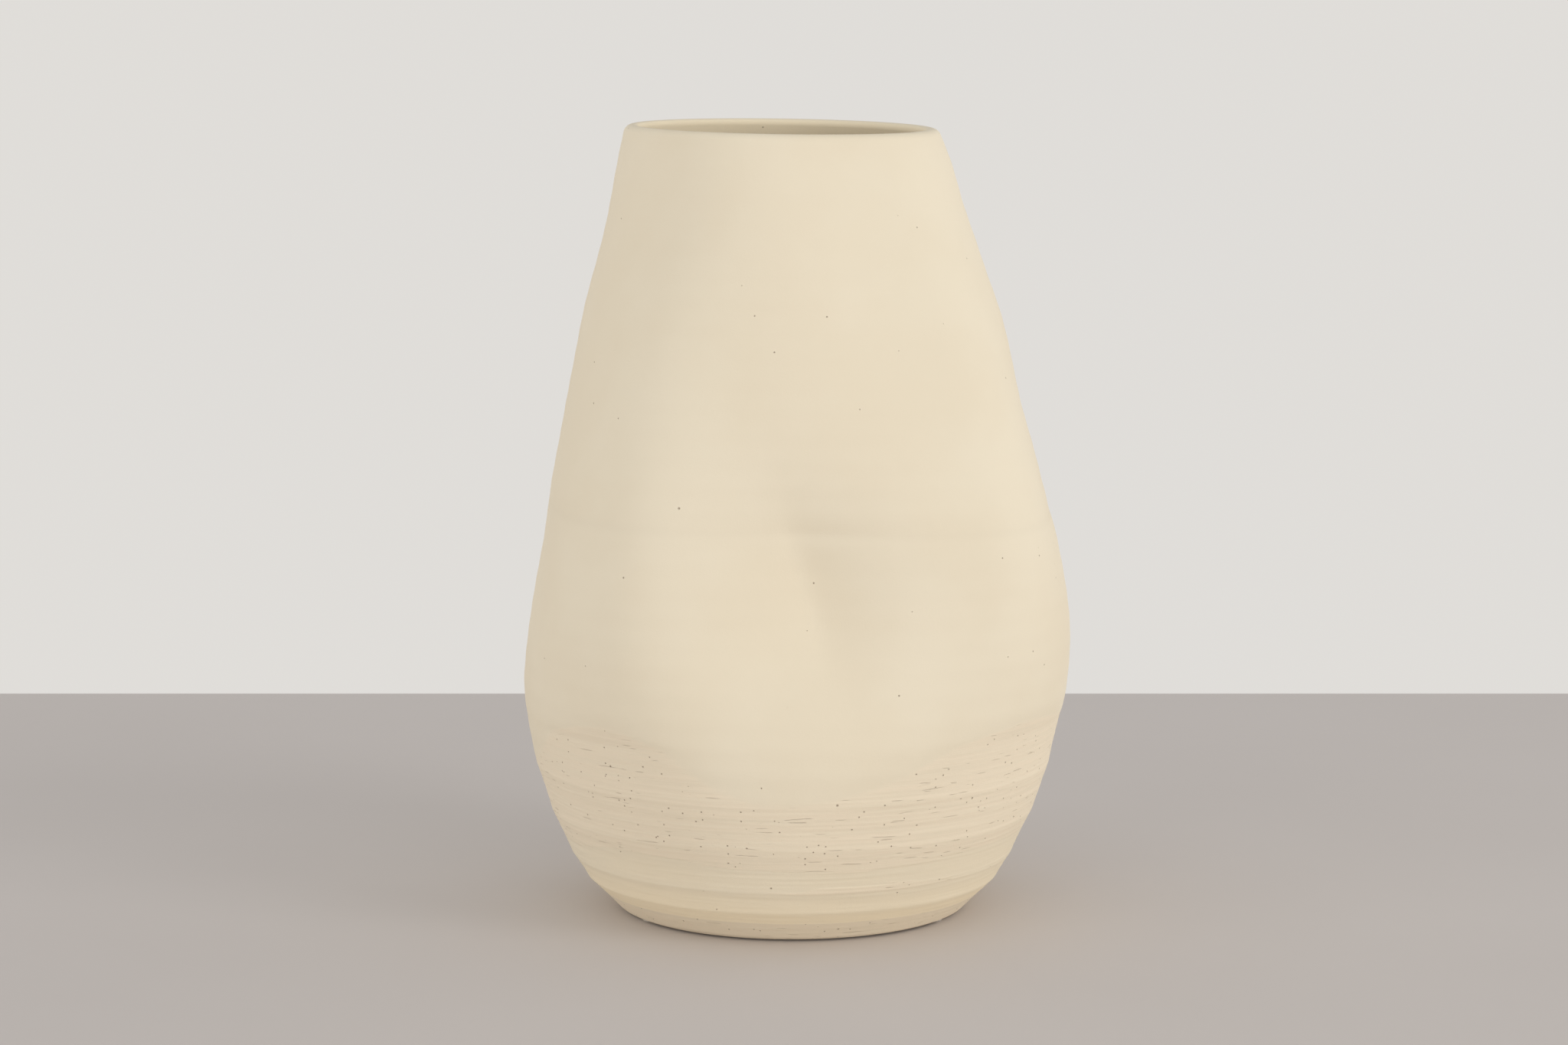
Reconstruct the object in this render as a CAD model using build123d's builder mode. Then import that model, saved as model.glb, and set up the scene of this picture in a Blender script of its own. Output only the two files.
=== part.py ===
from build123d import *
import math
import os

# A hand-thrown stoneware vase, in millimetres.
# The vase stands on +Z. The front, with its pressed hollow, faces -Y.
# Azimuths are degrees from the front, positive towards +X.

# ---------------------------------------------------------------- driving dimensions

height = 300.0            # table to the highest point of the lip
pad_thickness = 0.8       # felt dots lift the foot off the table
wall = 6.0                # thrown wall
heel_wall = 8.0           # thrown wall where it meets the floor
floor_thickness = 9.0
heel_radius = 24.0        # inner corner between floor and wall
lip_round = 2.7           # rounding of both lip edges

# The thrown outline before turning: height, radius, and how far its axis leans in X.
thrown_outline = [
    (0.0, 76.0, -1.0),
    (30.0, 91.6, -0.6),
    (60.0, 99.8, 0.1),
    (90.0, 103.5, 1.1),
    (125.0, 101.0, 2.2),
    (165.0, 93.2, 1.3),
    (210.0, 83.0, -0.2),
    (255.0, 71.3, -1.9),
    (285.0, 63.4, -3.5),
    (height, 58.6, -4.9),
]
foot_offset = -0.6        # the turning axis, in X
axis_y = -2.0             # both axes lie behind the front, so the origin is under the middle

# Turned bands under the belly: the height and radius of each turning line.
turning_lines = [
    (pad_thickness, 66.4),
    (13.5, 79.2),
    (22.5, 84.8),
    (39.5, 92.6),
    (57.5, 98.6),
    (77.0, 103.3),
]
band_hollow = 0.25        # how far the loop tool scooped each band
tool_exit = 0.45          # how fast the tool backed out above the last line
foot_arris = 0.8          # small bevel at the foot's edge
foot_ring_width = 11.0    # what stands proud of the turned recess
foot_recess = 1.6

# Where hands pressed the soft wall: how far, azimuth and its spread to the left and
# right, height and its spread down and up.
pressings = [
    (-14.5, -0.5, 16.0, 20.0, 122.0, 25.5, 36.0),   # the front hollow
    (10.0, -41.0, 18.0, 14.0, 140.0, 43.0, 75.0),   # clay pushed out left of it
    (10.0, 52.0, 21.0, 14.0, 166.0, 45.0, 55.0),    # clay pushed out right of it
    (-2.4, -44.0, 12.0, 12.5, 263.0, 22.0, 22.0),   # the flat under the lip
    (-1.2, 20.0, 18.0, 18.0, 238.0, 20.0, 30.0),    # a shallow thumb mark beside it
    (-0.9, -90.0, 28.0, 28.0, 267.0, 11.0, 11.0),   # unevenness down the left side
    (0.7, -90.0, 28.0, 28.0, 228.0, 13.0, 13.0),
    (-0.8, -90.0, 28.0, 28.0, 143.0, 14.0, 10.0),
    (0.8, -90.0, 28.0, 28.0, 86.0, 8.0, 8.0),
    (-1.1, 90.0, 28.0, 28.0, 271.0, 10.0, 10.0),    # unevenness down the right side
    (1.2, 90.0, 28.0, 28.0, 231.0, 10.0, 10.0),
    (-1.1, 90.0, 28.0, 28.0, 191.0, 14.0, 11.0),
    (0.8, 90.0, 28.0, 28.0, 110.0, 14.0, 14.0),
]

# The fold at the bottom of the hollow leans to the left as it rises.
fold_depth = 5.5
fold_azimuth = 2.0        # at fold_height
fold_height = 138.0
fold_lean = -0.18         # degrees for each millimetre up
fold_spread = (9.0, 13.0, 27.0, 20.0)     # degrees left and right, then down and up
fold_softness = 0.35

joint_height = 156.0      # where the two thrown sections were joined
joint_tilt = 1.2          # degrees, lower on the right
rim_tilt = 0.8            # degrees, lower on the right

glaze_thickness = 0.4
glaze_margin = 7.0        # bare clay between the lip and the liner glaze

pad_diameter = 10.0
pad_count = 3

section_pitch = 16.0      # spacing of the cross-sections
points_around = 32

# ---------------------------------------------------------------- the thrown shape

radius_curve = Spline(*[(radius, z) for z, radius, lean in thrown_outline])
lean_curve = Spline(*[(lean, z) for z, radius, lean in thrown_outline])


def across(curve, z):
    """Where a rising curve crosses a height."""
    low, high = 0.0, 1.0
    for _ in range(30):
        middle = (low + high) / 2
        if curve.position_at(middle, position_mode=PositionMode.PARAMETER).Y < z:
            low = middle
        else:
            high = middle
    return curve.position_at(low, position_mode=PositionMode.PARAMETER).X


def bell(value, middle, below, above):
    """1 at the middle, fading over one spread below it and another above it."""
    spread = below if value < middle else above
    return math.exp(-0.5 * ((value - middle) / spread) ** 2)


def folded(azimuth, z):
    """How much deeper the fold goes: a sharper bottom than a bell's."""
    left, right, down, up = fold_spread
    off = azimuth - fold_azimuth - fold_lean * (z - fold_height)
    across = math.hypot(fold_softness, off / (left if off < 0 else right))
    return fold_depth * math.exp(fold_softness - across) * bell(z, fold_height, down, up)


def pressed(azimuth, z):
    """How far the hands moved the wall outwards here, fading to nothing at the back."""
    fade = (1 - (azimuth / 180) ** 4) ** 2
    total = 0.0
    for amount, middle, left, right, level, down, up in pressings:
        total += amount * bell(azimuth, middle, left, right) * bell(z, level, down, up)
    return (total - folded(azimuth, z)) * fade


def section(z, inset):
    """One closed cross-section of the thrown wall, moved inwards by inset."""
    mean = across(radius_curve, z)
    lean = across(lean_curve, z)
    points = []
    for step in range(points_around):
        azimuth = step * 360 / points_around
        azimuth = azimuth - 360 if azimuth > 180 else azimuth
        radius = mean + pressed(azimuth, z) - inset
        turn = math.radians(azimuth)
        points.append((lean + radius * math.sin(turn), axis_y - radius * math.cos(turn)))
    even = list(range(points_around + 1))
    return Edge.make_spline([Vector(*p) for p in points], periodic=True, parameters=even)


def heights(start, end):
    """Evenly spaced section heights from start to end."""
    count = math.ceil((end - start) / section_pitch)
    return [start + (end - start) * step / count for step in range(count + 1)]


def wall_at(z):
    """The thrown wall, thicker towards the floor."""
    return wall + (heel_wall - wall) * math.exp(-z / 40)


floor_top = pad_thickness + floor_thickness


def cavity_inset(z, extra):
    """How far the inner face lies inside the outer one, with a rounded heel."""
    into_heel = 1 - (z - floor_top - extra) / heel_radius
    rounding = 0.0
    if into_heel > 0:
        rounding = heel_radius * (1 - math.sqrt(max(0.0, 1 - into_heel ** 2)))
    return wall_at(z) + extra + rounding


def cavity_heights(extra):
    """Close sections in the rounded heel, evenly spaced ones above it."""
    bottom = floor_top + extra
    heel = [bottom + heel_radius * (1 - math.cos(math.radians(a))) for a in (0, 20, 40, 60)]
    return heel + heights(bottom + heel_radius, height)


# ---------------------------------------------------------------- forms the pieces are cut from


def wall_form(section_heights, inset):
    """The space inside the thrown wall's sections, each moved in by inset(z)."""
    with BuildPart() as form:
        for z in section_heights:
            with BuildSketch(Plane.XY.offset(z)):
                with BuildLine():
                    add(section(z, inset(z)))
                make_face()
        loft()
    return form.part


thrown_form = wall_form(heights(0.0, height), lambda z: 0.0)
cavity_form = wall_form(cavity_heights(0.0), lambda z: cavity_inset(z, 0.0))
glazed_form = wall_form(
    cavity_heights(glaze_thickness),
    lambda z: cavity_inset(z, glaze_thickness),
)

# Everything the turning tool left: the foot, its recess and the bands up to the belly.
turning_plane = Plane((foot_offset, axis_y, 0), x_dir=(1, 0, 0), z_dir=(0, -1, 0))
foot_radius = turning_lines[0][1] - foot_arris
recess_radius = foot_radius - foot_ring_width
last_line = turning_lines[-1]

with BuildPart() as turned_form:
    with BuildSketch(turning_plane):
        with BuildLine():
            Polyline(
                (foot_radius, pad_thickness),
                (recess_radius, pad_thickness),
                (recess_radius - foot_recess, pad_thickness + foot_recess),
                (0, pad_thickness + foot_recess),
                (0, height + 10),
                (last_line[1] + 40, height + 10),
                (last_line[1] + tool_exit * 20, last_line[0] + 20),
                (last_line[1], last_line[0]),
            )
            for (low, low_radius), (high, high_radius) in zip(turning_lines, turning_lines[1:]):
                start = (low_radius, low)
                if low == pad_thickness:
                    start = (low_radius, low + foot_arris)
                SagittaArc(start, (high_radius, high), band_hollow)
            Line((foot_radius, pad_thickness), (turning_lines[0][1], pad_thickness + foot_arris))
        make_face()
    revolve(axis=Axis((foot_offset, axis_y, 0), (0, 0, 1)))

joint_plane = Plane((0, 0, joint_height)).rotated((0, joint_tilt, 0))

# The lip was trimmed on a slight slant, highest on the left.
rim_height, rim_radius, rim_lean = thrown_outline[-1]
rim_drop = (rim_radius - rim_lean) * math.tan(math.radians(rim_tilt))
rim_plane = Plane((0, 0, rim_height - rim_drop)).rotated((0, rim_tilt, 0))


def clay_wall(keep):
    """The turned and hollowed wall on one side of the joint, in the part being built."""
    add(thrown_form)
    add(turned_form.part, mode=Mode.INTERSECT)
    add(cavity_form, mode=Mode.SUBTRACT)
    split(bisect_by=joint_plane, keep=keep)


# ---------------------------------------------------------------- lower thrown section

with BuildPart() as lower_section:
    clay_wall(Keep.BOTTOM)

lower_section.part.label = "lower_section"

# ---------------------------------------------------------------- upper thrown section

with BuildPart() as upper_section:
    clay_wall(Keep.TOP)
    split(bisect_by=rim_plane, keep=Keep.BOTTOM)
    fillet(upper_section.faces().sort_by(Axis.Z)[-1].edges(), radius=lip_round)

upper_section.part.label = "upper_section"

# ---------------------------------------------------------------- liner glaze

with BuildPart() as liner_glaze:
    add(cavity_form)
    add(glazed_form, mode=Mode.SUBTRACT)
    split(bisect_by=rim_plane.offset(-glaze_margin), keep=Keep.BOTTOM)

liner_glaze.part.label = "liner_glaze"

# ---------------------------------------------------------------- felt dots under the foot ring

pad_circle = foot_radius - foot_ring_width / 2
foot_pads = []

for number in range(pad_count):
    turn = math.radians(90 + number * 360 / pad_count)
    centre = (foot_offset + pad_circle * math.cos(turn), axis_y + pad_circle * math.sin(turn), 0)
    with BuildPart() as foot_pad:
        with BuildSketch(Plane(centre)):
            Circle(pad_diameter / 2)
        extrude(amount=pad_thickness)
    foot_pad.part.label = f"foot_pad_{number + 1}"
    foot_pads.append(foot_pad.part)

# ---------------------------------------------------------------- export

os.makedirs("parts", exist_ok=True)
for piece in [lower_section.part, upper_section.part, liner_glaze.part, *foot_pads]:
    export_step(piece, f"parts/{piece.label}.step")
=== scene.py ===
import math

import bpy
import numpy as np
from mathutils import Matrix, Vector


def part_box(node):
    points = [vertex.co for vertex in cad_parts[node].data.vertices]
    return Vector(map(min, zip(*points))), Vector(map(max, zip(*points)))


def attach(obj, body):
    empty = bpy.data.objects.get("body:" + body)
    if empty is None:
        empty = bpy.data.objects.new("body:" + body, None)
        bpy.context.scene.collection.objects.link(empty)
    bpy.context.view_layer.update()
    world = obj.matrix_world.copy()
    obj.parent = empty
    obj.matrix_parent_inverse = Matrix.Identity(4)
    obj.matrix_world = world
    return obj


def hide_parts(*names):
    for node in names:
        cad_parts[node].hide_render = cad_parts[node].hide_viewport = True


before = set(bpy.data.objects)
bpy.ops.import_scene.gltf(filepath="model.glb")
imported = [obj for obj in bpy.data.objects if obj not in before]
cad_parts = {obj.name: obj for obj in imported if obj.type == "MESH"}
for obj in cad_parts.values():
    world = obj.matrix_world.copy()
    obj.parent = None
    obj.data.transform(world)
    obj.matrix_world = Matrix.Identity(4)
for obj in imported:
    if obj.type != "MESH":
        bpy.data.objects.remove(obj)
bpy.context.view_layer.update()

# A hand-thrown stoneware vase. Shapes are worked out in millimetres and made in metres.
# The front, with its pressed hollow, faces -Y. Azimuths are degrees from the front,
# positive towards +X.

MM = 0.001

# ------------------------------------------------------------------ size, from the frame

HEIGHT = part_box("upper_section")[1][2] / MM
FOOT_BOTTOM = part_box("lower_section")[0][2] / MM
FLOOR_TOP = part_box("liner_glaze")[0][2] / MM

# ------------------------------------------------------------------ the thrown shape

# height, radius, lean of the axis in X
THROWN_OUTLINE = [
    (0.0, 76.0, -1.0),
    (30.0, 91.6, -0.6),
    (60.0, 99.8, 0.1),
    (90.0, 103.5, 1.1),
    (125.0, 101.0, 2.2),
    (165.0, 93.2, 1.3),
    (210.0, 83.0, -0.2),
    (255.0, 71.3, -1.9),
    (285.0, 63.4, -3.5),
    (HEIGHT, 58.6, -4.9),
]
FOOT_OFFSET = -0.6        # the turning axis, in X
MIDDLE_Y = -2.0           # the throwing and turning axes, in Y

# height and radius of each turning line
TURNING_LINES = [
    (FOOT_BOTTOM, 66.4),
    (13.5, 79.2),
    (22.5, 84.8),
    (39.5, 92.6),
    (57.5, 98.6),
    (77.0, 103.3),
]
BAND_HOLLOW = 0.18        # how far the loop tool scooped each band
CUT_SOFTNESS = 0.5        # wear of the edge where the tool ran out
TOOL_EXIT = 0.45          # how fast the tool backed out above the last line
FOOT_ARRIS = 0.8          # small bevel at the foot's edge
FOOT_RING_WIDTH = 11.0
FOOT_RECESS = 1.6

# amount, azimuth, spread left and right, height, spread down and up
PRESSINGS = [
    (-14.5, -0.5, 16.0, 20.0, 122.0, 25.5, 36.0),
    (10.0, -41.0, 18.0, 14.0, 140.0, 43.0, 75.0),
    (10.0, 52.0, 21.0, 14.0, 166.0, 45.0, 55.0),
    (-2.4, -44.0, 12.0, 12.5, 263.0, 22.0, 22.0),
    (-1.2, 20.0, 18.0, 18.0, 238.0, 20.0, 30.0),
    (-0.9, -90.0, 28.0, 28.0, 267.0, 11.0, 11.0),
    (0.7, -90.0, 28.0, 28.0, 228.0, 13.0, 13.0),
    (-0.8, -90.0, 28.0, 28.0, 143.0, 14.0, 10.0),
    (0.8, -90.0, 28.0, 28.0, 86.0, 8.0, 8.0),
    (-1.1, 90.0, 28.0, 28.0, 271.0, 10.0, 10.0),
    (1.2, 90.0, 28.0, 28.0, 231.0, 10.0, 10.0),
    (-1.1, 90.0, 28.0, 28.0, 191.0, 14.0, 11.0),
    (0.8, 90.0, 28.0, 28.0, 110.0, 14.0, 14.0),
]

# The fold at the bottom of the hollow leans to the left as it rises.
FOLD_DEPTH = 5.5
FOLD_AZIMUTH = 2.0        # at FOLD_HEIGHT
FOLD_HEIGHT = 138.0
FOLD_LEAN = -0.18         # degrees for each millimetre up
FOLD_SPREAD = (9.0, 13.0, 27.0, 20.0)     # degrees left and right, then down and up
FOLD_SOFTNESS = 0.35

WALL = 6.0
HEEL_WALL = 8.0
HEEL_FADE = 40.0          # the height over which the heel's extra thickness fades
HEEL_RADIUS = 24.0        # inner corner between floor and wall
LIP_ROUND = 2.7
JOINT_HEIGHT = 156.0      # where the two thrown sections were joined
JOINT_TILT = math.radians(1.2)
RIM_TILT = math.radians(0.8)
GLAZE_THICKNESS = 0.4
GLAZE_BACK = 0.12         # keeps the skin's hidden back clear of the clay
GLAZE_TOP = HEIGHT - 7.8

# ------------------------------------------------------------------ fine relief, millimetres

UNEVENNESS = 0.16         # slow waves all over the outside
THROWING_PITCH = 9.5      # faint finger ridges outside
THROWING_DEPTH = 0.05
SPIRAL_PITCH = 11.0       # finger ridges inside
SPIRAL_DEPTH = 0.3
FLOOR_SPIRAL_DEPTH = 0.35
FOOT_SPIRAL_PITCH = 3.4   # tool spiral in the foot's recess
FOOT_SPIRAL_DEPTH = 0.09
GROOVE_DEPTH = 0.24       # the ring at the joint, and the soft ridge below it
GROOVE_WIDTH = 3.2
RIDGE_HEIGHT = 0.10
RIDGE_WIDTH = 4.0
RIDGE_DROP = 6.5
JOINT_REACH = (85.0, 215.0)     # mesh rows lean with the joint between these heights
RIM_REACH = 225.0               # and with the rim above this one

# ------------------------------------------------------------------ splines and the wall


def curve_through(stations, column):
    """A natural cubic spline through one column of a list of stations."""
    x = np.array([row[0] for row in stations])
    y = np.array([row[column] for row in stations])
    n = len(x)
    gap = np.diff(x)
    matrix = np.eye(n)
    right = np.zeros(n)
    for i in range(1, n - 1):
        matrix[i, i - 1:i + 2] = gap[i - 1], 2 * (gap[i - 1] + gap[i]), gap[i]
        right[i] = 6 * ((y[i + 1] - y[i]) / gap[i] - (y[i] - y[i - 1]) / gap[i - 1])
    bend = np.linalg.solve(matrix, right)

    def value(at):
        at = np.asarray(at, float)
        i = np.clip(np.searchsorted(x, at) - 1, 0, n - 2)
        a = x[i + 1] - at
        b = at - x[i]
        h = gap[i]
        cubic = (bend[i] * a ** 3 + bend[i + 1] * b ** 3) / (6 * h)
        return cubic + (y[i] / h - bend[i] * h / 6) * a + (y[i + 1] / h - bend[i + 1] * h / 6) * b

    return value


mean_radius = curve_through(THROWN_OUTLINE, 1)
lean = curve_through(THROWN_OUTLINE, 2)


def bell(value, middle, below, above):
    """1 at the middle, fading over one spread below it and another above it."""
    spread = np.where(value < middle, below, above)
    return np.exp(-0.5 * ((value - middle) / spread) ** 2)


def smooth_step(value, start, end):
    """0 before start, 1 after end, smooth between."""
    t = np.clip((value - start) / (end - start), 0, 1)
    return t * t * (3 - 2 * t)


def folded(azimuth, z):
    """How much deeper the fold goes: a sharper bottom than a bell's."""
    left, right, down, up = FOLD_SPREAD
    off = azimuth - FOLD_AZIMUTH - FOLD_LEAN * (z - FOLD_HEIGHT)
    across = np.hypot(FOLD_SOFTNESS, off / np.where(off < 0, left, right))
    return FOLD_DEPTH * np.exp(FOLD_SOFTNESS - across) * bell(z, FOLD_HEIGHT, down, up)


def pressed(azimuth, z):
    """How far the hands moved the wall outwards, fading to nothing at the back."""
    fade = (1 - (azimuth / 180) ** 4) ** 2
    total = 0.0
    for amount, middle, left, right, level, down, up in PRESSINGS:
        total = total + amount * bell(azimuth, middle, left, right) * bell(z, level, down, up)
    return (total - folded(azimuth, z)) * fade


def thrown_radius(azimuth, z):
    """The thrown wall's outer radius, before turning."""
    return mean_radius(z) + pressed(azimuth, z)


def turned_radius(azimuth, z):
    """The turning tool's surface, measured from the leaning axis of the thrown wall."""
    profile = np.full(np.shape(z), 1000.0)
    for (low, low_radius), (high, high_radius) in zip(TURNING_LINES, TURNING_LINES[1:]):
        along = (z - low) / (high - low)
        band = low_radius + (high_radius - low_radius) * along
        band = band - 4 * BAND_HOLLOW * along * (1 - along)
        profile = np.where((z >= low - 1e-6) & (z <= high), band, profile)
    top, top_radius = TURNING_LINES[-1]
    profile = np.where(z > top, top_radius + TOOL_EXIT * (z - top), profile)
    arris = TURNING_LINES[0][1] - FOOT_ARRIS + (z - FOOT_BOTTOM)
    profile = np.where(z < FOOT_BOTTOM + FOOT_ARRIS, np.minimum(profile, arris), profile)
    shift = FOOT_OFFSET - lean(z)
    turn = np.radians(azimuth)
    return shift * np.sin(turn) + np.sqrt(profile ** 2 - (shift * np.cos(turn)) ** 2)


# ------------------------------------------------------------------ relief in the clay


def ripple_noise(azimuth, z, seed, count, around, up, size):
    """Smooth seeded unevenness: a sum of waves that close round the pot."""
    random = np.random.default_rng(seed)
    total = np.zeros(np.broadcast(azimuth, z).shape)
    turn = np.radians(azimuth)
    for _ in range(count):
        turns = random.integers(-around, around + 1)
        rise = random.normal() * 2 * math.pi / up
        phase = random.uniform(0, 2 * math.pi)
        total = total + np.cos(turns * turn + rise * z + phase)
    return size * total / math.sqrt(count)


def joint_level(x):
    """The height of the tilted joint at this x."""
    return JOINT_HEIGHT - x * math.tan(JOINT_TILT)


def rim_shift(x):
    """How far the slanted rim lies below its highest point, at the left, at this x."""
    _, radius, offset = THROWN_OUTLINE[-1]
    return (offset - radius - x) * math.tan(RIM_TILT)


def outer_relief(azimuth, z, turned):
    """Fine relief of the outer face, in millimetres: turned is 1 where the tool cut."""
    relief = ripple_noise(azimuth, z, 11, 24, 4, 60.0, UNEVENNESS)
    throwing = np.sin(2 * math.pi * z / THROWING_PITCH + np.radians(azimuth)) * THROWING_DEPTH
    relief = relief + throwing * (1 - turned)
    drag = ripple_noise(azimuth, z, 23, 60, 14, 1.9, 0.028)
    drag = drag + ripple_noise(azimuth, z, 29, 50, 3, 3.6, 0.04)
    return relief + drag * turned


def joint_relief(azimuth, z, x):
    """The broken ring where the two sections meet, strongest in the hollow."""
    off = z - joint_level(x)
    groove = GROOVE_DEPTH * np.exp(-(off / GROOVE_WIDTH) ** 2)
    ridge = RIDGE_HEIGHT * np.exp(-((off + RIDGE_DROP) / RIDGE_WIDTH) ** 2)
    in_hollow = 1.4 * bell(azimuth, 5.0, 9.0, 12.0)
    strength = 0.75 + in_hollow + ripple_noise(azimuth, 0.0, 37, 10, 7, 100.0, 0.3)
    return (ridge - groove) * strength


def outer_surface(azimuth, z):
    """The outer face's radius about the leaning axis, with its cut edges a little worn."""
    thrown = thrown_radius(azimuth, z)
    cut = turned_radius(azimuth, z)
    x = lean(z) + thrown * np.sin(np.radians(azimuth))
    turned = smooth_step(thrown - cut, 0.0, 0.25)
    thrown = thrown + joint_relief(azimuth, z, x)
    worn = CUT_SOFTNESS * np.log1p(np.exp(-np.abs(thrown - cut) / CUT_SOFTNESS))
    return np.minimum(thrown, cut) - worn + outer_relief(azimuth, z, turned)


def wall_at(z):
    """The wall's thickness, growing towards the floor."""
    return WALL + (HEEL_WALL - WALL) * np.exp(-z / HEEL_FADE)


def inner_surface(azimuth, z, extra=0.0):
    """The inner face's radius, with its rounded heel and throwing spiral."""
    into_heel = np.clip(1 - (z - FLOOR_TOP - extra) / HEEL_RADIUS, 0, 1)
    rounding = HEEL_RADIUS * (1 - np.sqrt(1 - into_heel ** 2))
    spiral = np.sin(2 * math.pi * z / SPIRAL_PITCH - np.radians(azimuth)) * SPIRAL_DEPTH
    spiral = spiral * smooth_step(z, FLOOR_TOP + 8, FLOOR_TOP + 30)
    return thrown_radius(azimuth, z) - wall_at(z) - extra - rounding + spiral


# ------------------------------------------------------------------ meshes from rings


def add_piece(name, vertices, faces):
    """A smooth mesh object: faces is a list of index arrays, one row per face."""
    mesh = bpy.data.meshes.new(name)
    corners = np.concatenate([group.ravel() for group in faces])
    sizes = np.concatenate([np.full(len(group), group.shape[1]) for group in faces])
    starts = np.concatenate([[0], np.cumsum(sizes)[:-1]])
    mesh.vertices.add(len(vertices))
    mesh.vertices.foreach_set("co", (vertices * MM).ravel().astype(np.float32))
    mesh.loops.add(len(corners))
    mesh.loops.foreach_set("vertex_index", corners.astype(np.int32))
    mesh.polygons.add(len(sizes))
    mesh.polygons.foreach_set("loop_start", starts.astype(np.int32))
    mesh.polygons.foreach_set("use_smooth", np.ones(len(sizes), bool))
    mesh.update(calc_edges=True)
    mesh.validate()
    piece = bpy.data.objects.new(name, mesh)
    bpy.context.scene.collection.objects.link(piece)
    return piece


def bridge(first, second, around):
    """Quads between two rings that start at these vertex numbers."""
    here = np.arange(around)
    there = (here + 1) % around
    return np.stack([first + here, first + there, second + there, second + here], 1)


def capped_mesh(name, rings):
    """A closed mesh from ring to ring, with its first and last ring closed by a fan."""
    n = len(rings[0])
    points = [rings[0].mean(axis=0)[None, :], *rings, rings[-1].mean(axis=0)[None, :]]
    vertices = np.concatenate(points)
    quads = [bridge(1 + row * n, 1 + (row + 1) * n, n) for row in range(len(rings) - 1)]
    here = np.arange(n)
    there = (here + 1) % n
    last = 1 + (len(rings) - 1) * n
    first_fan = np.stack([np.zeros(n, int), 1 + there, 1 + here], 1)
    last_fan = np.stack([np.full(n, len(vertices) - 1), last + here, last + there], 1)
    return add_piece(name, vertices, [*quads, first_fan, last_fan])


def looped_mesh(name, rings):
    """A closed mesh whose last ring comes back to its first, such as a tube's wall."""
    n = len(rings[0])
    count = len(rings)
    quads = [bridge(row * n, (row + 1) % count * n, n) for row in range(count)]
    return add_piece(name, np.concatenate(rings), quads)


AROUND = 320              # points in each ring
FELT_AROUND = 72
AZIMUTHS = np.arange(AROUND) * 360.0 / AROUND - 180.0


def ring(azimuth, radius, z, centre):
    """Points round an axis at x = centre: +x is to the right and -y to the front."""
    turn = np.radians(azimuth)
    z = np.broadcast_to(z, azimuth.shape)
    return np.stack([centre + radius * np.sin(turn), MIDDLE_Y - radius * np.cos(turn), z], 1)


def rows_between(start, end, pitch):
    """Evenly spaced values from start to end, about pitch apart."""
    count = max(1, int(math.ceil(abs(end - start) / pitch)))
    return np.linspace(start, end, count + 1)


def sheared(z, surface):
    """The heights of a level ring, tilted with the joint near it and with the rim at the top."""
    low, high = JOINT_REACH
    to_joint = smooth_step(z, low, JOINT_HEIGHT) * (1 - smooth_step(z, JOINT_HEIGHT, high))
    to_rim = smooth_step(z, RIM_REACH, HEIGHT - LIP_ROUND)
    level = np.full(AROUND, float(z))
    for _ in range(3):
        x = lean(level) + surface(AZIMUTHS, level) * np.sin(np.radians(AZIMUTHS))
        level = z + (joint_level(x) - JOINT_HEIGHT) * to_joint + rim_shift(x) * to_rim
    return level


def wall_rings(heights, surface):
    """Rings of a wall's face at these heights."""
    rings = []
    for z in heights:
        level = sheared(z, surface)
        rings.append(ring(AZIMUTHS, surface(AZIMUTHS, level), level, lean(level)))
    return rings


def rings_across(outer, inner, count):
    """Rings that fill the joint's face between its outer and inner edges."""
    return [outer + (inner - outer) * step / count for step in range(1, count)]


# ------------------------------------------------------------------ lower section


def underside_rings():
    """The foot from its middle outwards: the turned recess, its bevel and the foot ring."""
    ring_outer = TURNING_LINES[0][1] - FOOT_ARRIS
    ring_inner = ring_outer - FOOT_RING_WIDTH
    bevel = ring_inner - FOOT_RECESS
    radii = np.concatenate([
        rows_between(1.5, bevel - 0.6, 2.0),
        rows_between(bevel, ring_inner, 0.5),
        rows_between(ring_inner + 0.6, ring_outer - 0.2, 1.0),
    ])
    rings = []
    for radius in radii:
        recessed = float(1 - smooth_step(radius, bevel, ring_inner))
        spiral = np.sin(2 * math.pi * radius / FOOT_SPIRAL_PITCH + np.radians(AZIMUTHS))
        level = FOOT_BOTTOM + (FOOT_RECESS + FOOT_SPIRAL_DEPTH * spiral) * recessed
        rings.append(ring(AZIMUTHS, np.full(AROUND, radius), level, FOOT_OFFSET))
    return rings


def lower_heights():
    """Close rows over the turned bands and the joint, wider ones between them."""
    near_joint = JOINT_HEIGHT - 9
    return np.concatenate([
        rows_between(FOOT_BOTTOM, FOOT_BOTTOM + FOOT_ARRIS, 0.2)[1:-1],
        rows_between(FOOT_BOTTOM + FOOT_ARRIS, 62.0, 0.46)[:-1],
        rows_between(62.0, 90.0, 0.8)[:-1],
        rows_between(90.0, near_joint, 1.5)[:-1],
        rows_between(near_joint, JOINT_HEIGHT, 0.6),
    ])


def inner_heights():
    """From the joint down the inner face into the rounded heel, to the floor."""
    heel = FLOOR_TOP + HEEL_RADIUS
    angles = np.radians(rows_between(90.0, 0.0, 7.5))
    curve = FLOOR_TOP + HEEL_RADIUS * (1 - np.sin(angles[::-1]))
    return np.concatenate([rows_between(JOINT_HEIGHT, heel, 3.5)[:-1], curve])


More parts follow.
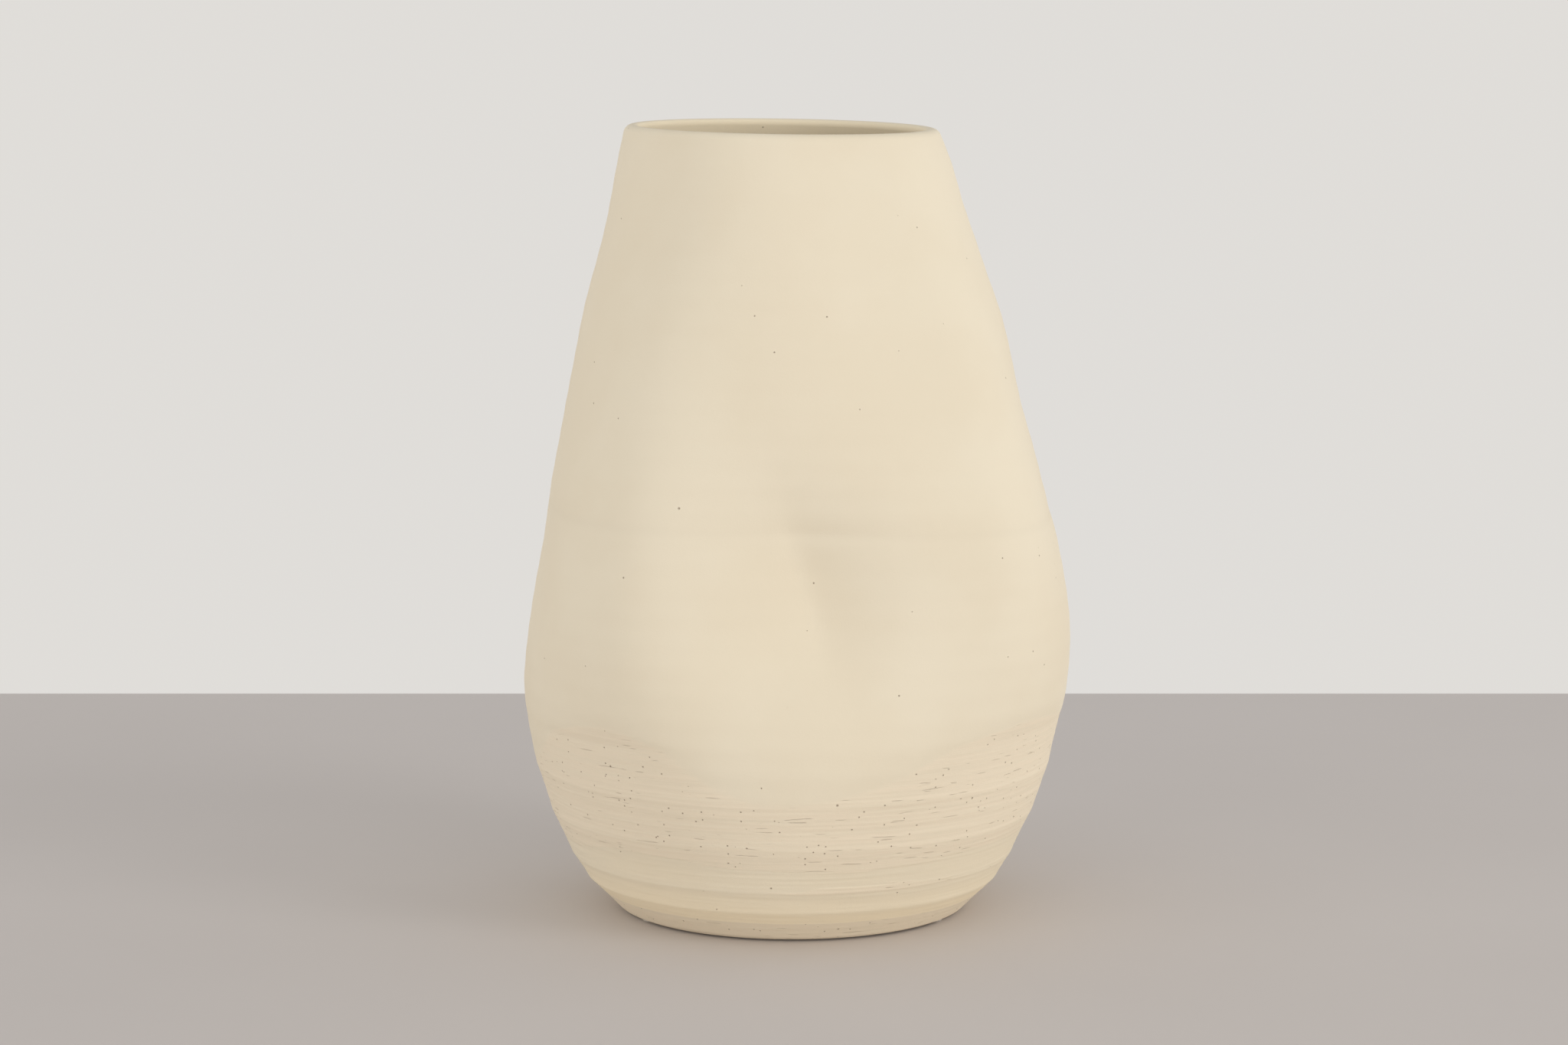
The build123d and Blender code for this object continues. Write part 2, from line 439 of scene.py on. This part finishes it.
def floor_rings(extra):
    """The inside floor from the heel to near its middle, with the throwing spiral."""
    level = FLOOR_TOP + extra
    edge = inner_surface(AZIMUTHS, np.full(AROUND, level), extra)
    rings = []
    for share in np.linspace(1, 0.03, 18)[1:]:
        spiral = np.sin(2 * math.pi * share * 5.5 + np.radians(AZIMUTHS))
        z = level + FLOOR_SPIRAL_DEPTH * (1 + spiral) * (1 - share) * min(1.0, share * 5)
        rings.append(ring(AZIMUTHS, edge * share, z, lean(level)))
    return rings


def lower_clay():
    """The floor, foot and belly up to the joint, as one closed mesh."""
    outer = wall_rings(lower_heights(), outer_surface)
    inner = wall_rings(inner_heights(), inner_surface)
    joint = rings_across(outer[-1], inner[0], 5)
    return capped_mesh("lower_clay", underside_rings() + outer + joint + inner + floor_rings(0.0))


# ------------------------------------------------------------------ upper section


def lip_rings():
    """The rounded lip, from the outer face over to the inner one."""
    base = sheared(HEIGHT - LIP_ROUND, outer_surface)
    outer = outer_surface(AZIMUTHS, base)
    inner = inner_surface(AZIMUTHS, base)
    middle = (outer + inner) / 2
    half = (outer - inner) / 2
    rings = []
    for degrees in rows_between(0.0, 180.0, 10.0):
        turn = math.radians(degrees)
        across = math.copysign(abs(math.cos(turn)) ** 0.85, math.cos(turn))
        rise = LIP_ROUND * math.sin(turn)
        rings.append(ring(AZIMUTHS, middle + half * across - 0.25 * rise, base + rise, lean(base)))
    return rings


def upper_clay():
    """The shoulder, neck and lip above the joint, as one closed mesh."""
    lip_base = HEIGHT - LIP_ROUND
    up = np.concatenate([
        rows_between(JOINT_HEIGHT, JOINT_HEIGHT + 6, 0.6)[:-1],
        rows_between(JOINT_HEIGHT + 6, lip_base, 1.3)[:-1],
    ])
    outer = wall_rings(up, outer_surface)
    inner = wall_rings(rows_between(lip_base, JOINT_HEIGHT, 3.0)[1:], inner_surface)
    joint = rings_across(inner[-1], outer[0], 5)
    return looped_mesh("upper_clay", outer + lip_rings() + inner + joint)


# ------------------------------------------------------------------ liner glaze and felt dots


def glaze_edge(azimuth):
    """The glaze's upper edge wanders a little round the mouth."""
    return GLAZE_TOP - 1.2 + ripple_noise(azimuth, 0.0, 41, 6, 5, 100.0, 0.5)


def glaze_rings(extra):
    """The glaze's face from its edge down to the floor, this far inside the clay's face."""
    heel = FLOOR_TOP + HEEL_RADIUS
    angles = np.radians(rows_between(90.0, 0.0, 7.5))
    curve = FLOOR_TOP + extra + HEEL_RADIUS * (1 - np.sin(angles[::-1]))
    rings = []
    for z in np.concatenate([rows_between(GLAZE_TOP, heel, 3.0)[:-1], curve]):
        near_edge = smooth_step(z, GLAZE_TOP - 12, GLAZE_TOP)
        level = sheared(z, inner_surface) + (glaze_edge(AZIMUTHS) - GLAZE_TOP) * near_edge
        rings.append(ring(AZIMUTHS, inner_surface(AZIMUTHS, level, extra), level, lean(level)))
    return rings + floor_rings(extra)


def glaze_skin():
    """A thin closed skin: up its hidden back and down its visible face."""
    back = glaze_rings(GLAZE_BACK)[::-1]
    face = glaze_rings(GLAZE_THICKNESS)
    edge = back[-1] + (face[0] - back[-1]) * 0.5 + np.array([0, 0, 0.12])
    return capped_mesh("glaze_skin", back + [edge] + face)


def felt_dot(name, node, seed):
    """A punched felt dot with a soft, slightly ragged rim."""
    low, high = (np.array(corner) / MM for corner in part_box(node))
    centre = (low + high) / 2
    radius = (high[0] - low[0]) / 2
    thick = high[2] - low[2]
    azimuth = np.arange(FELT_AROUND) * 360.0 / FELT_AROUND
    ragged = ripple_noise(azimuth, 0.0, seed, 14, 24, 100.0, 0.05)
    outline = [(0.25, 0.0), (0.6, 0.0), (0.9, 0.0), (0.97, 0.04), (1.0, 0.3), (1.0, 0.7)]
    outline += [(0.97, 0.96), (0.9, 1.0), (0.6, 1.0), (0.25, 1.0)]
    rings = []
    for share, rise in outline:
        edge = (radius - 0.12) * share + ragged * share ** 6
        turn = np.radians(azimuth)
        x = centre[0] + edge * np.sin(turn)
        y = centre[1] - edge * np.cos(turn)
        rings.append(np.stack([x, y, np.full(FELT_AROUND, low[2] + thick * rise)], 1))
    return capped_mesh(name, rings)


# ------------------------------------------------------------------ the pieces on the frame

SHARP_ANGLE = math.radians(55)


def stand_for(piece, node):
    """The piece takes a CAD node's place and rides with it."""
    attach(piece, "root")
    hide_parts(node)


def mark_surface(piece):
    """Store where the tool cut, how near the joint is and where the inside is, for the clay: the
    joint mark carries painted shade and the inside mark painted light.
    """
    count = len(piece.data.vertices)
    place = np.empty(count * 3)
    piece.data.vertices.foreach_get("co", place)
    x, y, z = place.reshape(-1, 3).T / MM
    azimuth = np.degrees(np.arctan2(x - lean(z), MIDDLE_Y - y))
    radius = np.hypot(x - lean(z), y - MIDDLE_Y)
    thrown = thrown_radius(azimuth, z)
    outside = (radius > thrown - wall_at(z) / 2) | (z < FLOOR_TOP - 1)
    cut = np.where(outside, smooth_step(thrown - turned_radius(azimuth, z), 0.0, 0.3), 0)
    near = np.where(outside, np.exp(-((z - joint_level(x)) / 2.0) ** 2), 0)
    inside = np.where(z > FLOOR_TOP - 1, smooth_step(thrown - radius, 3.0, 5.5), 0)
    for name, values in (("turned", cut), ("joint", near), ("inside", inside)):
        layer = piece.data.attributes.new(name, "FLOAT", "POINT")
        layer.data.foreach_set("value", values.astype(np.float32))


lower = lower_clay()
upper = upper_clay()
glaze = glaze_skin()
dots = [felt_dot(f"felt_dot_{i}", f"foot_pad_{i}", 50 + i) for i in (1, 2, 3)]

stand_for(lower, "lower_section")
stand_for(upper, "upper_section")
stand_for(glaze, "liner_glaze")
for i, dot in enumerate(dots, 1):
    stand_for(dot, f"foot_pad_{i}")
for piece in (lower, upper):
    piece.data.set_sharp_from_angle(angle=SHARP_ANGLE)
    mark_surface(piece)

# ------------------------------------------------------------------ material helpers


class Nodes:
    """A short way to add shader nodes: a value or a socket may be given for any input."""

    def __init__(self, name):
        self.material = bpy.data.materials.new(name)
        self.material.use_nodes = True
        self.tree = self.material.node_tree
        self.shader = self.tree.nodes["Principled BSDF"]
        self.place = self.add("ShaderNodeTexCoord").outputs["Object"]

    def add(self, kind, inputs=(), **settings):
        node = self.tree.nodes.new(kind)
        for key, value in settings.items():
            setattr(node, key, value)
        for key, value in dict(inputs).items():
            self.give(node.inputs[key], value)
        return node

    def give(self, socket, value):
        if isinstance(value, bpy.types.NodeSocket):
            self.tree.links.new(value, socket)
        else:
            socket.default_value = value

    def math(self, operation, first, second=0.0, third=0.0):
        inputs = {0: first, 1: second, 2: third}
        return self.add("ShaderNodeMath", inputs, operation=operation).outputs[0]

    def span(self, value, low, high, start=0.0, end=1.0):
        """Map low..high to start..end, smoothly and held at both ends."""
        inputs = {"Value": value, "From Min": low, "From Max": high, "To Min": start, "To Max": end}
        node = self.add("ShaderNodeMapRange", inputs, interpolation_type="SMOOTHSTEP")
        return node.outputs["Result"]

    def stretched(self, scale):
        """The place on the pot, scaled in each direction."""
        inputs = {"Vector": self.place, "Scale": scale}
        return self.add("ShaderNodeMapping", inputs).outputs["Vector"]

    def noise(self, scale, detail=2.0, roughness=0.5, stretch=(1, 1, 1)):
        vector = self.stretched(tuple(scale * s for s in stretch))
        inputs = {"Vector": vector, "Scale": 1.0, "Detail": detail, "Roughness": roughness}
        return self.add("ShaderNodeTexNoise", inputs).outputs["Fac"]

    def mix(self, share, first, second):
        inputs = {"Factor": share, 6: first, 7: second}
        node = self.add("ShaderNodeMix", inputs, data_type="RGBA")
        return node.outputs[2]

    def mark(self, name):
        """A value stored on the mesh."""
        return self.add("ShaderNodeAttribute", attribute_name=name).outputs["Fac"]

    def pits(self, scale, radius, rarity):
        """Round pinholes: rarity is the share of cells with none. Returns 1 in a pinhole."""
        inputs = {"Vector": self.place, "Scale": scale}
        cells = self.add("ShaderNodeTexVoronoi", inputs)
        hole = self.span(cells.outputs["Distance"], radius * 0.5, radius, 1.0, 0.0)
        channels = self.add("ShaderNodeSeparateColor", {"Color": cells.outputs["Color"]})
        chosen = self.math("GREATER_THAN", channels.outputs[0], rarity)
        return self.math("MULTIPLY", hole, chosen)

    def relief(self, height_mm):
        """Bump from a height in millimetres."""
        inputs = {"Height": height_mm, "Strength": 1.0, "Distance": MM}
        bump = self.add("ShaderNodeBump", inputs)
        self.give(self.shader.inputs["Normal"], bump.outputs["Normal"])


# ------------------------------------------------------------------ materials

CLAY_LIGHT = (0.805, 0.716, 0.555, 1)
CLAY_WARM = (0.785, 0.690, 0.526, 1)
CLAY_TURNED = (0.830, 0.715, 0.548, 1)
# the inside's clay, painted lighter to lift the shade inside the mouth
CLAY_INSIDE_PAINTED_LIGHT = (0.900, 0.780, 0.570, 1)
# painted shade: the dark colour given to pinholes, drag lines and the joint ring, standing in for
# the shade in them
PAINTED_SHADE_COLOR = (0.30, 0.22, 0.15, 1)
GLAZE_LIGHT = (0.90, 0.815, 0.665, 1)
GLAZE_WARM = (0.87, 0.78, 0.615, 1)
GLAZE_CRACK = (0.42, 0.33, 0.22, 1)
FELT_DARK = (0.52, 0.46, 0.37, 1)
FELT_LIGHT = (0.68, 0.62, 0.52, 1)
FELT_TUFT = (0.42, 0.36, 0.28, 1)
FLOOR_DARK = (0.60, 0.552, 0.52, 1)
FLOOR_LIGHT = (0.63, 0.582, 0.55, 1)


def clay_material():
    """Pale bisque: smooth where it was ribbed, dragged and pitted where it was turned. Its
    pinholes, drag lines and joint ring are darkened with painted shade, and its inside face is
    painted lighter to lift its shade.
    """
    n = Nodes("bisque_clay")
    turned = n.mark("turned")
    clouds = n.span(n.noise(16.0, 3.0), 0.35, 0.65)
    color = n.mix(clouds, CLAY_LIGHT, CLAY_WARM)
    streaks = n.noise(26.0, 3.0, 0.6, (1, 1, 22))
    worn = n.math("MULTIPLY", turned, n.span(streaks, 0.25, 0.75, 0.35, 0.95))
    color = n.mix(worn, color, CLAY_TURNED)
    # painted light: the inside face gets a lighter clay colour to lift the shade inside the mouth
    color = n.mix(n.mark("inside"), color, CLAY_INSIDE_PAINTED_LIGHT)
    grains = n.noise(1500.0, 2.0)
    color = n.mix(n.span(grains, 0.3, 0.75, 0.0, 0.10), color, CLAY_WARM)

    rarity = n.span(turned, 0.0, 1.0, 0.985, 0.66)
    small = n.pits(420.0, 0.15, rarity)
    large = n.pits(120.0, 0.060, n.span(turned, 0.0, 1.0, 0.985, 0.86))
    pits = n.math("MAXIMUM", small, large)
    drags = n.span(n.noise(95.0, 1.0, 0.4, (1, 1, 14)), 0.70, 0.76)
    drags = n.math("MULTIPLY", drags, turned)
    # painted shade: the drag lines are darkened as if shaded in their grooves
    color = n.mix(n.math("MULTIPLY", drags, 0.16), color, PAINTED_SHADE_COLOR)
    # painted shade: the pinholes are darkened as if shaded inside
    color = n.mix(n.math("MULTIPLY", pits, 0.75), color, PAINTED_SHADE_COLOR)
    # painted shade: a faint dark line along the joint ring's groove
    color = n.mix(n.math("MULTIPLY", n.mark("joint"), 0.03), color, PAINTED_SHADE_COLOR)
    n.give(n.shader.inputs["Base Color"], color)

    rough = n.math("MULTIPLY_ADD", turned, 0.10, 0.76)
    rough = n.math("MULTIPLY_ADD", n.noise(300.0), 0.08, rough)
    n.give(n.shader.inputs["Roughness"], rough)
    n.shader.inputs["Specular IOR Level"].default_value = 0.30

    fine = n.math("MULTIPLY", grains, 0.030)
    combed = n.noise(34.0, 4.0, 0.65, (1, 1, 30))
    height = n.math("MULTIPLY_ADD", n.math("MULTIPLY", combed, turned), 0.10, fine)
    height = n.math("MULTIPLY_ADD", n.noise(160.0, 2.0), 0.035, height)
    height = n.math("MULTIPLY_ADD", drags, -0.16, height)
    height = n.math("MULTIPLY_ADD", pits, -0.30, height)
    n.relief(height)
    return n.material


def glaze_material():
    """Pale satin glaze over the clay, with faint crazing and a few pinholes darkened with painted
    shade.
    """
    n = Nodes("liner_glaze")
    clouds = n.span(n.noise(22.0, 3.0), 0.3, 0.7)
    color = n.mix(clouds, GLAZE_LIGHT, GLAZE_WARM)
    inputs = {"Vector": n.place, "Scale": 95.0}
    cracks = n.add("ShaderNodeTexVoronoi", inputs, feature="DISTANCE_TO_EDGE")
    lines = n.span(cracks.outputs["Distance"], 0.0, 0.02, 1.0, 0.0)
    lines = n.math("MULTIPLY", lines, n.span(n.noise(30.0), 0.45, 0.7, 0.0, 0.25))
    pits = n.pits(180.0, 0.05, 0.9)
    color = n.mix(lines, color, GLAZE_CRACK)
    # painted shade: the glaze's pinholes are darkened as if shaded inside
    color = n.mix(n.math("MULTIPLY", pits, 0.5), color, PAINTED_SHADE_COLOR)
    n.give(n.shader.inputs["Base Color"], color)
    n.give(n.shader.inputs["Roughness"], n.span(n.noise(60.0, 3.0), 0.3, 0.7, 0.42, 0.55))
    n.shader.inputs["Coat Weight"].default_value = 0.12
    n.shader.inputs["Coat Roughness"].default_value = 0.3
    height = n.math("MULTIPLY", n.noise(45.0, 2.0), 0.12)
    height = n.math("MULTIPLY_ADD", pits, -0.1, height)
    n.relief(height)
    return n.material


def felt_material():
    """Pressed beige wool felt with short tangled fibres."""
    n = Nodes("felt")
    fibres = n.noise(2600.0, 4.0, 0.7)
    tufts = n.noise(700.0, 3.0, 0.6)
    color = n.mix(n.span(fibres, 0.3, 0.7), FELT_DARK, FELT_LIGHT)
    color = n.mix(n.span(tufts, 0.35, 0.7, 0.0, 0.35), color, FELT_TUFT)
    n.give(n.shader.inputs["Base Color"], color)
    n.give(n.shader.inputs["Roughness"], n.span(tufts, 0.3, 0.7, 0.88, 1.0))
    n.shader.inputs["Sheen Weight"].default_value = 0.4
    n.shader.inputs["Sheen Roughness"].default_value = 0.5
    n.relief(n.math("MULTIPLY_ADD", fibres, 0.12, n.math("MULTIPLY", tufts, 0.10)))
    return n.material


clay = clay_material()
for piece in (lower, upper):
    piece.data.materials.append(clay)
glaze.data.materials.append(glaze_material())
felt = felt_material()
for dot in dots:
    dot.data.materials.append(felt)

# ------------------------------------------------------------------ floor, light and camera

scene = bpy.context.scene
scene.view_settings.view_transform = "Standard"

# metres
MIDDLE = (0.0, 0.0, HEIGHT * MM / 2)
FLOOR_SIDE = 2.6
FLOOR_BACK = 0.441
LIGHT_DISTANCE = 3.4
LIGHT_SIZE = 1.5
CAMERA_PLACE = (-0.0037, -1.644 + MIDDLE_Y * MM, 0.3847)

CAMERA_LENS = 99.8
CAMERA_DOWN = 8.19        # degrees below level
WORLD_LIGHT = 0.62
WORLD_COLOR = (1, 1, 1, 1)
BACKDROP_COLOR = (0.745, 0.725, 0.695, 1)

# azimuth and elevation in degrees, power in watts
SOFTBOXES = [
    (-120, 4, 11.0),
    (-60, 4, 19.2),
    (-30, 4, 14.2),
    (30, 4, 15.2),
    (60, 4, 30.0),
    (55, 32, 10.2),
    (120, 4, 12.2),
]


def floor_material():
    """Matte pale board with a trace of mottling."""
    n = Nodes("pale_floor")
    color = n.mix(n.noise(6.0, 3.0), FLOOR_DARK, FLOOR_LIGHT)
    n.give(n.shader.inputs["Base Color"], color)
    n.shader.inputs["Roughness"].default_value = 0.8
    return n.material


def make_floor():
    """A plain floor that ends a little behind the vase."""
    mesh = bpy.data.meshes.new("floor")
    side = FLOOR_SIDE
    corners = [(-side, -side, 0), (side, -side, 0), (side, FLOOR_BACK, 0), (-side, FLOOR_BACK, 0)]
    mesh.from_pydata(corners, [], [(0, 1, 2, 3)])
    mesh.materials.append(floor_material())
    floor = bpy.data.objects.new("floor", mesh)
    scene.collection.objects.link(floor)


def aim_at(thing, target):
    """Point an object's -Z axis at a place."""
    direction = Vector(target) - thing.location
    thing.rotation_euler = direction.to_track_quat("-Z", "Y").to_euler()


def softbox(azimuth, elevation, power):
    """A round area light on a sphere about the vase, at an azimuth from the front."""
    data = bpy.data.lights.new("softbox", "AREA")
    data.shape = "DISK"
    data.size = LIGHT_SIZE
    data.energy = power
    light = bpy.data.objects.new("softbox", data)
    scene.collection.objects.link(light)
    turn = math.radians(azimuth)
    rise = math.radians(elevation)
    level = LIGHT_DISTANCE * math.cos(rise)
    up = MIDDLE[2] + LIGHT_DISTANCE * math.sin(rise)
    light.location = (level * math.sin(turn), -level * math.cos(turn), up)
    aim_at(light, MIDDLE)


def make_world(strength, color, backdrop):
    """Even light all round, and a pale backdrop behind the vase."""
    world = bpy.data.worlds.new("studio")
    scene.world = world
    world.use_nodes = True
    tree = world.node_tree
    glow = tree.nodes["Background"]
    glow.inputs["Color"].default_value = color
    glow.inputs["Strength"].default_value = strength
    seen = tree.nodes.new("ShaderNodeBackground")
    seen.inputs["Color"].default_value = backdrop
    path = tree.nodes.new("ShaderNodeLightPath")
    mixed = tree.nodes.new("ShaderNodeMixShader")
    tree.links.new(path.outputs["Is Camera Ray"], mixed.inputs["Fac"])
    tree.links.new(glow.outputs["Background"], mixed.inputs[1])
    tree.links.new(seen.outputs["Background"], mixed.inputs[2])
    tree.links.new(mixed.outputs["Shader"], tree.nodes["World Output"].inputs["Surface"])


def make_camera():
    """About a 100 mm lens, 1.64 m in front of the vase, looking 8 degrees down."""
    data = bpy.data.cameras.new("camera")
    data.sensor_width = 36.0
    data.lens = CAMERA_LENS
    camera = bpy.data.objects.new("camera", data)
    scene.collection.objects.link(camera)
    camera.location = CAMERA_PLACE
    camera.rotation_euler = (math.radians(90 - CAMERA_DOWN), 0, 0)
    scene.camera = camera


make_floor()
for azimuth, elevation, power in SOFTBOXES:
    softbox(azimuth, elevation, power)
make_world(WORLD_LIGHT, WORLD_COLOR, BACKDROP_COLOR)
make_camera()
